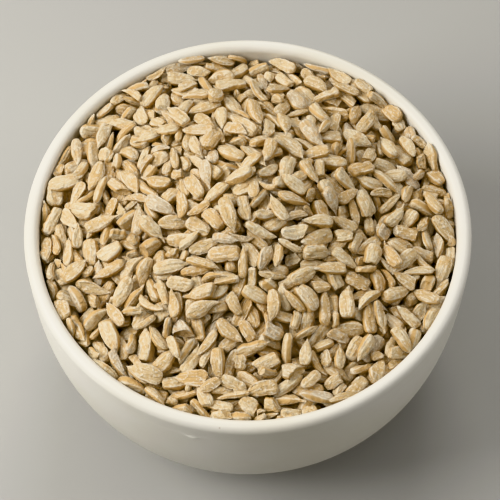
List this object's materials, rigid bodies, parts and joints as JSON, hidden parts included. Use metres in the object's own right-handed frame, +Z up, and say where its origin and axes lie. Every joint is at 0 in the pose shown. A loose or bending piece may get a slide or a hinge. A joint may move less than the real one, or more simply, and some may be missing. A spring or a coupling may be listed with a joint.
{
  "type": "bowl of sunflower seeds",
  "caption": "Round cream ceramic bowl heaped with hulled sunflower kernels, for breakfast or as a snack.",
  "frame": {"origin": "centre of the foot, on the surface the bowl stands on", "axes": "+Z up, +Y towards the back, where the heap lies lowest under the rim"},
  "size_m": [0.13, 0.13, 0.0805],
  "materials": {
    "glaze": "gloss",
    "kernel": "matte"
  },
  "bodies": {
    "root": {"bowl": "glaze", "seed_heap": "kernel"}
  },
  "joints": []
}
